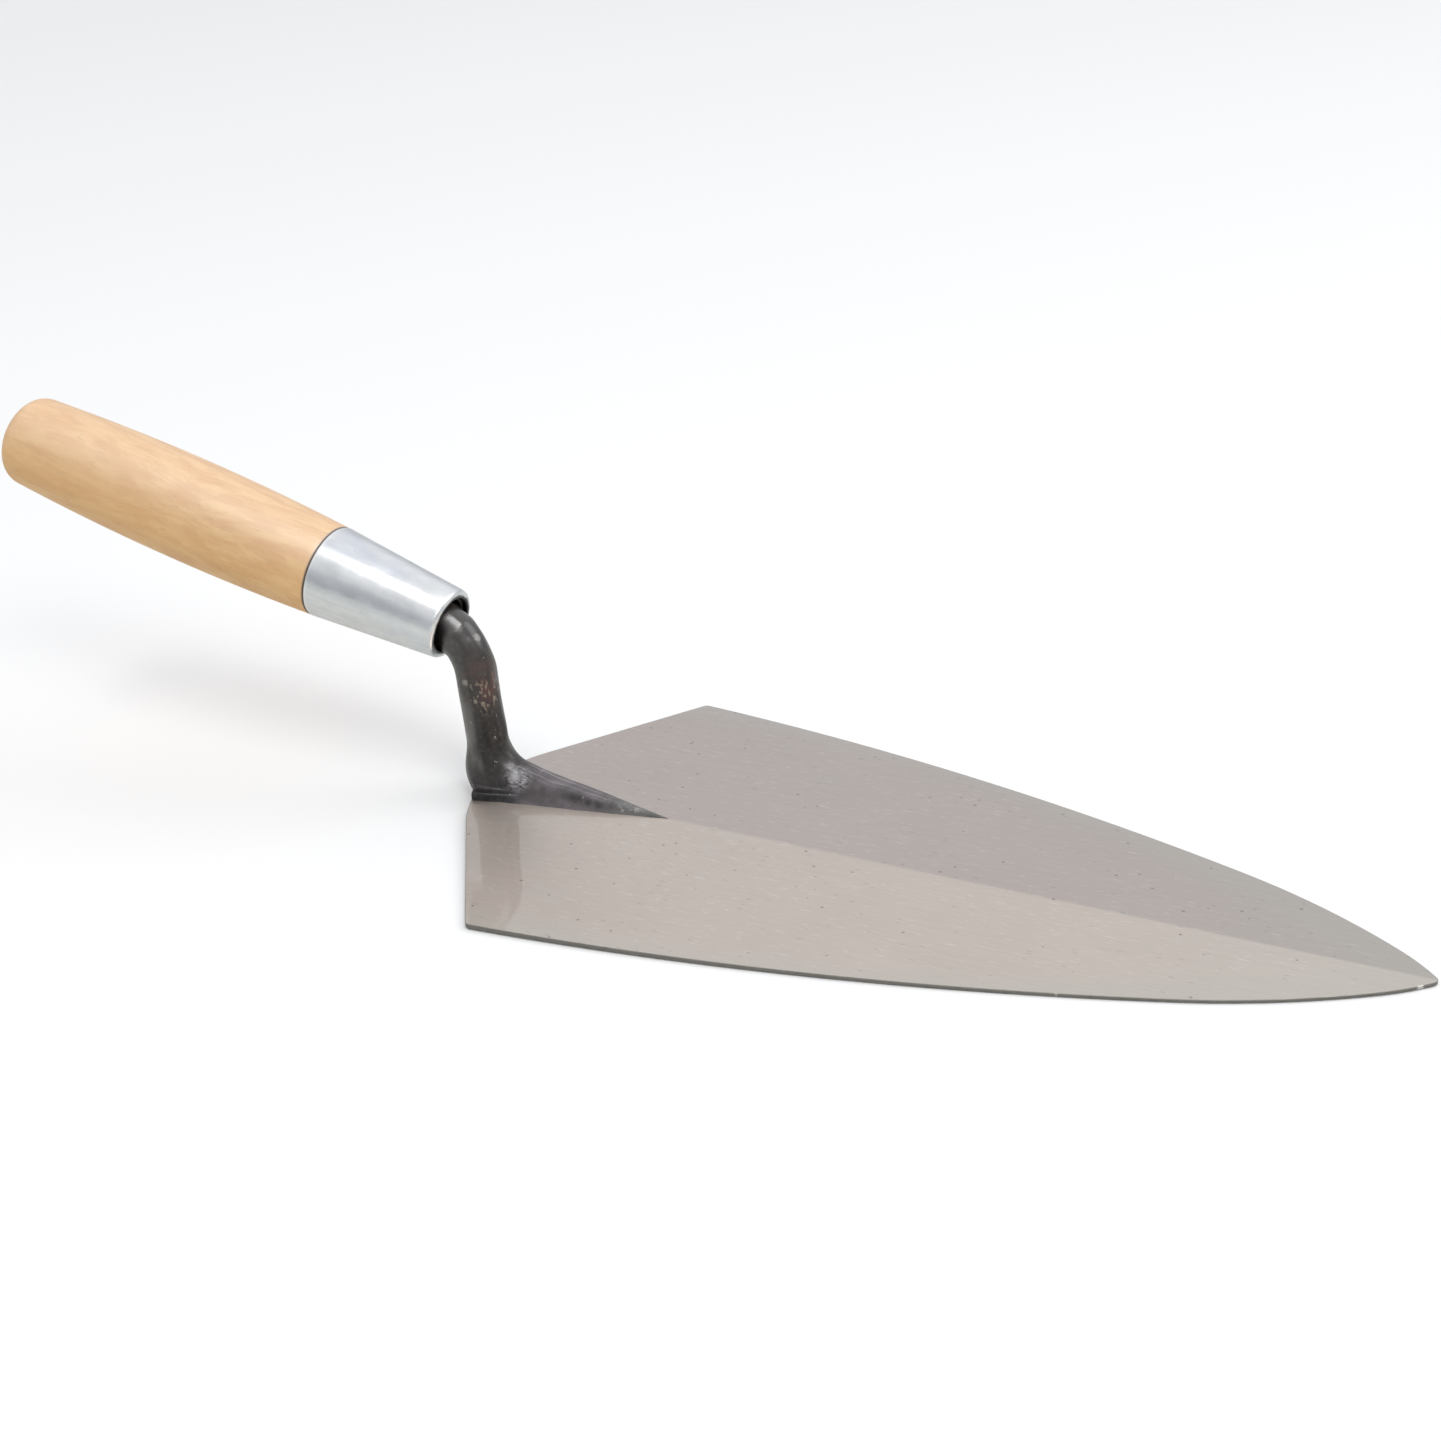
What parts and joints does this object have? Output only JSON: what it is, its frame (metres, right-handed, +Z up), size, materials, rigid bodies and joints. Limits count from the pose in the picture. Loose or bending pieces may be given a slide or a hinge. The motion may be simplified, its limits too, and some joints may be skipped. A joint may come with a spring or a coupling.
{
  "type": "brick trowel",
  "caption": "Brick trowel: flat pointed steel blade with a swept heel, gooseneck shank, tapered metal ferrule and turned wooden handle, resting on its blade.",
  "frame": {"origin": "middle of the blade's flat underside: on its centre line, halfway between heel and tip", "axes": "+X along the blade from heel to tip, +Y to the left seen from the handle, +Z up out of the blade's top face"},
  "size_m": [0.4407, 0.1396, 0.1055],
  "materials": {
    "forged_steel": "ground blade, dark forged shank",
    "plated_steel": "bright plated",
    "hardwood": "turned and clear lacquered"
  },
  "bodies": {
    "root": {"forging": "forged_steel", "ferrule": "plated_steel", "handle": "hardwood"}
  },
  "joints": []
}
